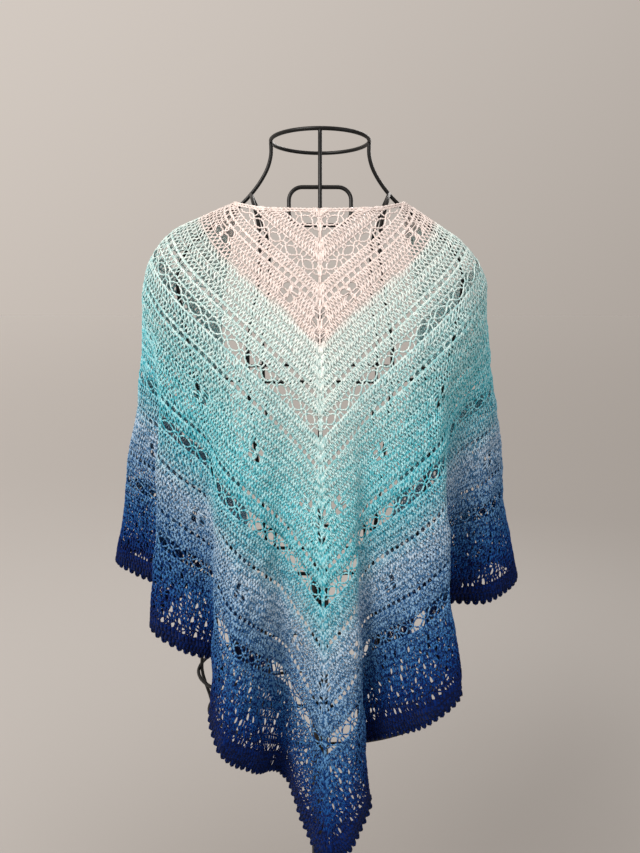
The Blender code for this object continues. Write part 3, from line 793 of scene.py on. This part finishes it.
def yarnMaterial(name, roughness):
    material, tree, shader = newMaterial(name)
    plies = {"Ply Size": cotton["plySize"], "Contrast": cotton["contrast"]}
    group = addNode(tree, "ShaderNodeGroup", plies, node_tree=ombreYarn)
    relief = {"Strength": cotton["bump"], "Distance": cotton["bumpDepth"]}
    bump = addNode(tree, "ShaderNodeBump", {**relief, "Height": group.outputs["Height"]})
    look = {
        "Base Color": group.outputs["Color"],
        "Normal": bump.outputs["Normal"],
        "Roughness": roughness,
        "Sheen Weight": cotton["sheen"],
        "Sheen Roughness": cotton["sheenRoughness"],
        "Specular IOR Level": cotton["specular"],
    }
    fillInputs(tree, shader, look)
    return material


cottonYarn = yarnMaterial("cottonYarn", 0.82)
edgingYarn = yarnMaterial("edgingYarn", 0.80)

bands = {  # name: first row, row after the last
    "yoke": (0, 33),
    "waist": (33, 49),
    "hem": (49, 59),
}

clothPieces = []
for sideName, side in (("left", -1), ("right", 1)):
    for bandName, (firstRow, lastRow) in bands.items():
        yarn = Yarn()
        workRows(yarn, side, firstRow, lastRow)
        piece = yarn.build(f"crochet_{bandName}_{sideName}", cottonYarn)
        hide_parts("shawl_centre", "shawl_" + sideName)
        clothPieces.append(piece)
    yarn = Yarn()
    workEdging(yarn, side)
    piece = yarn.build(f"crochet_edging_{sideName}", edgingYarn)
    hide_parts("edging_centre", "edging_" + sideName)
    clothPieces.append(piece)
print("cloth worked:", len(clothPieces), "pieces")


# satin black powder coat, for the wires and the stand
coat = {
    "dark": (9, 9, 10),
    "worn": (20, 19, 19),
    "wearScale": 18.0,
    "gloss": 0.30,  # roughness where it is least and most worn
    "matt": 0.48,
    "specular": 0.3,
    "grainDepth": 0.0002,
}


def powderGroup():
    tree, given, result = newGroup("powderCoat", ("Grain Size",), ("Color", "Roughness", "Height"))
    place = addNode(tree, "ShaderNodeTexCoord").outputs["Object"]
    finer = addNode(tree, "ShaderNodeMath", {0: 1.0, 1: given.outputs["Grain Size"]}, operation="DIVIDE")
    grain = addNode(tree, "ShaderNodeTexNoise", {"Vector": place, "Scale": finer.outputs[0], "Detail": 3.0})
    wear = addNode(tree, "ShaderNodeTexNoise", {"Vector": place, "Scale": coat["wearScale"], "Detail": 4.0})
    worn = wear.outputs["Fac"]
    limits = {"Value": worn, "To Min": coat["gloss"], "To Max": coat["matt"]}
    shine = addNode(tree, "ShaderNodeMapRange", limits)
    tones = {"Factor": worn, 6: paint(*coat["dark"]), 7: paint(*coat["worn"])}
    tone = addNode(tree, "ShaderNodeMix", tones, data_type="RGBA")
    made = {"Color": tone.outputs[2], "Roughness": shine.outputs["Result"], "Height": grain.outputs["Fac"]}
    fillInputs(tree, result, made)
    return tree


powderCoat = powderGroup()


def coatedMaterial(name, grainSize, bumpStrength):
    material, tree, shader = newMaterial(name)
    group = addNode(tree, "ShaderNodeGroup", {"Grain Size": grainSize}, node_tree=powderCoat)
    relief = {"Strength": bumpStrength, "Distance": coat["grainDepth"]}
    bump = addNode(tree, "ShaderNodeBump", {**relief, "Height": group.outputs["Height"]})
    look = {
        "Base Color": group.outputs["Color"],
        "Roughness": group.outputs["Roughness"],
        "Normal": bump.outputs["Normal"],
        "Specular IOR Level": coat["specular"],
    }
    fillInputs(tree, shader, look)
    return material


wireCoat = coatedMaterial("wireCoat", 0.0008, 0.3)
standCoat = coatedMaterial("standCoat", 0.0010, 0.4)


def ringMesh(rings, closed, capped):
    # one mesh over rings of corners, (rings, corners, 3)
    count, sides = rings.shape[:2]
    spans = count if closed else count - 1
    k = np.arange(spans)[:, None] * sides
    after = (np.arange(spans)[:, None] + 1) % count * sides
    c = np.arange(sides)[None, :]
    d = (c + 1) % sides
    faces = np.stack([k + c, k + d, after + d, after + c], -1).reshape(-1, 4).tolist()
    if capped:
        faces += [list(range(sides))[::-1], list(range((count - 1) * sides, count * sides))]
    mesh = bpy.data.meshes.new("smooth")
    mesh.from_pydata(rings.reshape(-1, 3).tolist(), [], faces)
    return mesh


def smoothPiece(name, mesh, material):
    mesh.materials.append(material)
    mesh.shade_smooth()
    made = bpy.data.objects.new("smooth_" + name, mesh)
    scene.collection.objects.link(made)
    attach(made, "root")
    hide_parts(name)
    return made


# the wire form, in metres
wire = {
    "thick": 0.0034,
    "round": 0.0043,  # as drawn
    "gap": 0.0003,
    "sides": 12,
    "perSpan": 6,
    "ringSteps": 96,
    "neckRadius": 0.0555,
    "spokeStart": 0.0146,
    "top": 1.500,
}
hoops = {  # height, half width, depth behind, depth before
    "hoop_bust": (1.237, 0.155, 0.110, 0.108),
    "hoop_waist": (1.015, 0.125, 0.082, 0.086),
    "hoop_hip": (0.850, 0.158, 0.084, 0.094),
    "hoop_bottom": (0.795, 0.146, 0.076, 0.086),
}
shoulderWire = [
    (0.0556, 1.484),
    (0.0590, 1.471),
    (0.0672, 1.456),
    (0.0790, 1.441),
    (0.0930, 1.4275),
    (0.1220, 1.4072),
    (0.1450, 1.3890),
    (0.1610, 1.3690),
    (0.1670, 1.343),
    (0.1630, 1.308),
    (0.1580, 1.272),
]
centreHeights = [1.470, 1.440, 1.405, 1.360, 1.310, 1.270]
backWire = list(zip([0.0550, 0.0590, 0.0660, 0.0790, 0.0940, 0.1040], centreHeights))
frontWire = list(zip([0.0550, 0.0580, 0.0640, 0.0760, 0.0900, 0.1000], centreHeights))
slantWire = [
    (0.0740, 0.030, 1.428),
    (0.0660, 0.052, 1.400),
    (0.0640, 0.068, 1.360),
    (0.0700, 0.084, 1.310),
    (0.0760, 0.092, 1.270),
]
neckLoop = {
    "y": -0.0596,
    "z": 1.419,
    "halfWidth": 0.033,
    "halfHeight": 0.020,
    "corner": 0.014,
    "lean": 0.2125,
}


def roundWire(name, points, closed=False):
    points = np.array(points, float)
    if closed:
        line = points
        ahead = np.roll(line, -1, axis=0) - np.roll(line, 1, axis=0)
    else:
        spans = len(points) - 1
        chord = np.concatenate([[0], np.cumsum(np.linalg.norm(np.diff(points, axis=0), axis=1))])
        at = np.interp(np.linspace(0, spans, spans * wire["perSpan"] + 1), np.arange(spans + 1), chord)
        line = smoothTable(np.column_stack([chord, points]), at) if spans > 1 else points
        ahead = np.gradient(line, axis=0)
    ahead /= np.linalg.norm(ahead, axis=1)[:, None]
    across = np.cross(ahead[0], (0, 0, 1))
    if np.linalg.norm(across) < 0.1:
        across = np.cross(ahead[0], (0, 1, 0))
    turn = np.arange(wire["sides"]) * 2 * math.pi / wire["sides"]
    rings = []
    for place, way in zip(line, ahead):
        across = across - way * across.dot(way)
        across /= np.linalg.norm(across)
        circle = np.outer(np.cos(turn), across) + np.outer(np.sin(turn), np.cross(way, across))
        rings.append(place + wire["round"] / 2 * circle)
    return smoothPiece(name, ringMesh(np.array(rings), closed, not closed), wireCoat)


def hoopPlace(hoop, degrees, inset=0.0):
    # degrees from the middle of the back towards +x
    height, halfWidth, behind, before = hoops[hoop]
    turn = math.radians(degrees)
    depth = behind if math.cos(turn) > 0 else before
    x, y = halfWidth * math.sin(turn), -depth * math.cos(turn)
    normal = Vector((x / halfWidth**2, y / depth**2)).normalized()
    return Vector((x - normal.x * inset, y - normal.y * inset, height))


def lowerWire(degrees):
    inset = wire["thick"] + wire["gap"]
    bust, waist, hip, bottom = (hoopPlace(hoop, degrees, inset) for hoop in hoops)
    upper, lower = bust.lerp(waist, 0.5), waist.lerp(hip, 0.5)
    upper.xy *= 0.985
    lower.xy *= 0.985
    return [bust, upper, waist, lower, hip, bottom, bottom - Vector((0, 0, wire["thick"]))]


def makeWires():
    radius, apart = wire["neckRadius"], wire["thick"] + wire["gap"]
    turns = [360 / wire["ringSteps"] * k for k in range(wire["ringSteps"])]
    middle = wire["top"] - wire["round"] / 2
    ring = [(radius * math.sin(t), -radius * math.cos(t), middle) for t in map(math.radians, turns)]
    roundWire("neck_ring", ring, closed=True)
    for hoop in hoops:
        roundWire(hoop, [hoopPlace(hoop, t) for t in turns], closed=True)
    top = wire["top"] - wire["thick"] * 0.7
    for side, name in ((-1, "left"), (1, "right")):
        path = [(side * radius, 0, top)] + [(side * x, 0, z) for x, z in shoulderWire]
        roundWire("wire_" + name, path + lowerWire(side * 90))
        for face, where in ((-1, "back"), (1, "front")):
            path = [(side * shoulderWire[3][0], face * wire["thick"] * 0.5, shoulderWire[3][1])]
            path += [(side * x, face * y, z) for x, y, z in slantWire]
            roundWire(f"wire_{where}_{name}", path + lowerWire(side * (30 if face < 0 else 150)))
    roundWire("wire_back", [(0, -radius, top)] + [(0, -y, z) for y, z in backWire] + lowerWire(0))
    roundWire("wire_front", [(0, radius, top)] + [(0, y, z) for y, z in frontWire] + lowerWire(180))
    n, path = neckLoop, []
    for xSide, zSide, first in ((1, 1, 0), (-1, 1, 90), (-1, -1, 180), (1, -1, 270)):
        for k in range(13):
            turn = math.radians(first + 7.5 * k)
            x = xSide * (n["halfWidth"] - n["corner"]) + n["corner"] * math.cos(turn)
            z = zSide * (n["halfHeight"] - n["corner"]) + n["corner"] * math.sin(turn)
            path.append((x, n["y"] + n["lean"] * z, n["z"] + z))
    roundWire("neck_loop", path, closed=True)
    for name in ("waist", "bottom"):
        for k, where in enumerate(("back", "right", "front", "left")):
            end = hoopPlace("hoop_" + name, 90 * k, 1.2 * apart)
            out = Vector((end.x, end.y, 0)).normalized()
            start = out * wire["spokeStart"] + Vector((0, 0, end.z))
            roundWire(f"spoke_{name}_{where}", [start, end])


stand = {  # profiles of (radius, height, edge rounding)
    "base_plate": [(0.157, 0.0, 0), (0.160, 0.0, 0.001), (0.160, 0.008, 0.0025), (0.150, 0.008, 0)],
    "pole": [(0.011, 0.008, 0), (0.011, 1.031, 0.002), (0.004, 1.031, 0)],
    "pole_flange": [
        (0.011, 0.008, 0),
        (0.035, 0.008, 0),
        (0.035, 0.012, 0.0012),
        (0.016, 0.0205, 0.0012),
        (0.015, 0.022, 0.0012),
        (0.011, 0.022, 0),
    ],
    "collar": [(0.011, -0.010, 0), (0.015, -0.010, 0.0012), (0.015, 0.010, 0.0012), (0.011, 0.010, 0)],
}


def turnedPiece(name, profile, capped, sides=96):
    # a profile turned about the form's axis
    shape = []
    count = len(profile)
    for k, (r, z, soft) in enumerate(profile):
        here = np.array((r, z))
        if soft and (0 < k < count - 1 or not capped):
            before = np.array(profile[k - 1][:2]) - here
            after = np.array(profile[(k + 1) % count][:2]) - here
            start = here + before / np.linalg.norm(before) * soft
            end = here + after / np.linalg.norm(after) * soft
            for t in np.linspace(0, 1, 5):
                shape.append(tuple((1 - t) ** 2 * start + 2 * t * (1 - t) * here + t * t * end))
        else:
            shape.append((r, z))
    turn = np.arange(sides) * 2 * math.pi / sides
    rings = np.array([[(r * math.cos(t), r * math.sin(t), z) for t in turn] for r, z in shape])
    return smoothPiece(name, ringMesh(rings, not capped, capped), standCoat)


def makeStand():
    turnedPiece("base_plate", stand["base_plate"], True)
    turnedPiece("pole", stand["pole"], True, 48)
    turnedPiece("pole_flange", stand["pole_flange"], False)
    for name in ("waist", "bottom"):
        middle = hoops["hoop_" + name][0]
        turnedPiece("collar_" + name, [(r, middle + z, soft) for r, z, soft in stand["collar"]], False, 48)


makeWires()
makeStand()
print("form and stand made")


# floor, light and camera
studio = {
    "horizon": (188, 179, 171),
    "above": (218, 209, 201),
    "airStrength": 1.0,
    # how much paler the left is than the right: the sky's own light, and painted light on the floor
    "slant": -0.34,
    # painted shade: the floor's colour close to the form, much darker than far off
    "floorPaintedShade": (118, 112, 107),
    "floorFar": (230, 229, 228),
    "floorHalf": 150.0,
    "lensMillimetres": 27.43,
    "eye": (0.0, -0.78, 1.311),
    "pitchDown": 10.2,
}
lights = {  # place, target, size, watts, colour
    "keyLight": ((-1.5, -1.9, 3.0), (0, 0, 1.2), 1.4, 74, (255, 251, 246)),
    "fillLight": ((1.9, -1.4, 1.8), (0, 0, 1.1), 1.8, 12, (246, 249, 255)),
    "backLight": ((0.6, 2.0, 2.4), (0, 0, 1.1), 1.4, 16, (255, 252, 248)),
}


def slantedTone(tree, factor, low, high, across):
    # one tone to another, the left a little paler than the right: on the sky this is its light, brighter to
    # the left; on the floor it is painted light from the left
    tones = {"Factor": factor, 6: paint(*studio[low]), 7: paint(*studio[high])}
    tone = addNode(tree, "ShaderNodeMix", tones, data_type="RGBA")
    slope = {0: across, 1: studio["slant"], 2: 1.0}
    slant = addNode(tree, "ShaderNodeMath", slope, operation="MULTIPLY_ADD")
    made = {0: tone.outputs[2], "Scale": slant.outputs[0]}
    return addNode(tree, "ShaderNodeVectorMath", made, operation="SCALE").outputs[0]


def floorMaterial():
    material, tree, shader = newMaterial("studioFloor")
    place = addNode(tree, "ShaderNodeTexCoord").outputs["Object"]
    away = addNode(tree, "ShaderNodeVectorMath", {0: place}, operation="LENGTH").outputs["Value"]
    reach = addNode(tree, "ShaderNodeMath", {0: away, 1: 1.5}, operation="ADD").outputs[0]
    far = addNode(tree, "ShaderNodeMath", {0: away, 1: reach}, operation="DIVIDE").outputs[0]
    parts = addNode(tree, "ShaderNodeSeparateXYZ", {0: place})
    across = addNode(tree, "ShaderNodeMath", {0: parts.outputs["X"], 1: reach}, operation="DIVIDE")
    # painted shade on the floor near the form, fading with distance to the plain pale floor
    tone = slantedTone(tree, far, "floorPaintedShade", "floorFar", across.outputs[0])
    fillInputs(tree, shader, {"Base Color": tone, "Roughness": 0.9, "Specular IOR Level": 0.1})
    return material


def makeFloor():
    half = studio["floorHalf"]
    corners = [(-half, -half, 0), (half, -half, 0), (half, half, 0), (-half, half, 0)]
    mesh = bpy.data.meshes.new("floor")
    mesh.from_pydata(corners, [], [(0, 1, 2, 3)])
    mesh.materials.append(floorMaterial())
    floor = bpy.data.objects.new("floor", mesh)
    scene.collection.objects.link(floor)


def makeAir():
    # light from all round, a little brighter overhead and to the left
    world = bpy.data.worlds.new("studioAir")
    world.use_nodes = True
    tree = world.node_tree
    place = addNode(tree, "ShaderNodeTexCoord").outputs["Generated"]
    parts = addNode(tree, "ShaderNodeSeparateXYZ", {0: place})
    height = addNode(tree, "ShaderNodeMath", {0: parts.outputs["Z"], 1: 0.0}, operation="MAXIMUM")
    tone = slantedTone(tree, height.outputs[0], "horizon", "above", parts.outputs["X"])
    fillInputs(tree, tree.nodes["Background"], {"Color": tone, "Strength": studio["airStrength"]})
    scene.world = world


def makeLights():
    for name, (place, target, size, watts, colour) in lights.items():
        data = bpy.data.lights.new(name, "AREA")
        data.shape = "DISK"
        data.size = size
        data.energy = watts
        data.color = paint(*colour)[:3]
        lamp = bpy.data.objects.new(name, data)
        lamp.location = place
        lamp.rotation_euler = (Vector(target) - Vector(place)).to_track_quat("-Z", "Y").to_euler()
        scene.collection.objects.link(lamp)


makeFloor()
makeAir()
makeLights()
scene.view_settings.view_transform = "Standard"

cameraData = bpy.data.cameras.new("camera")
cameraData.sensor_fit = "VERTICAL"
cameraData.sensor_height = 36.0
cameraData.lens = studio["lensMillimetres"]
camera = bpy.data.objects.new("camera", cameraData)
camera.location = studio["eye"]
camera.rotation_euler = (math.radians(90 - studio["pitchDown"]), 0, 0)
scene.collection.objects.link(camera)
scene.camera = camera
print("studio set")
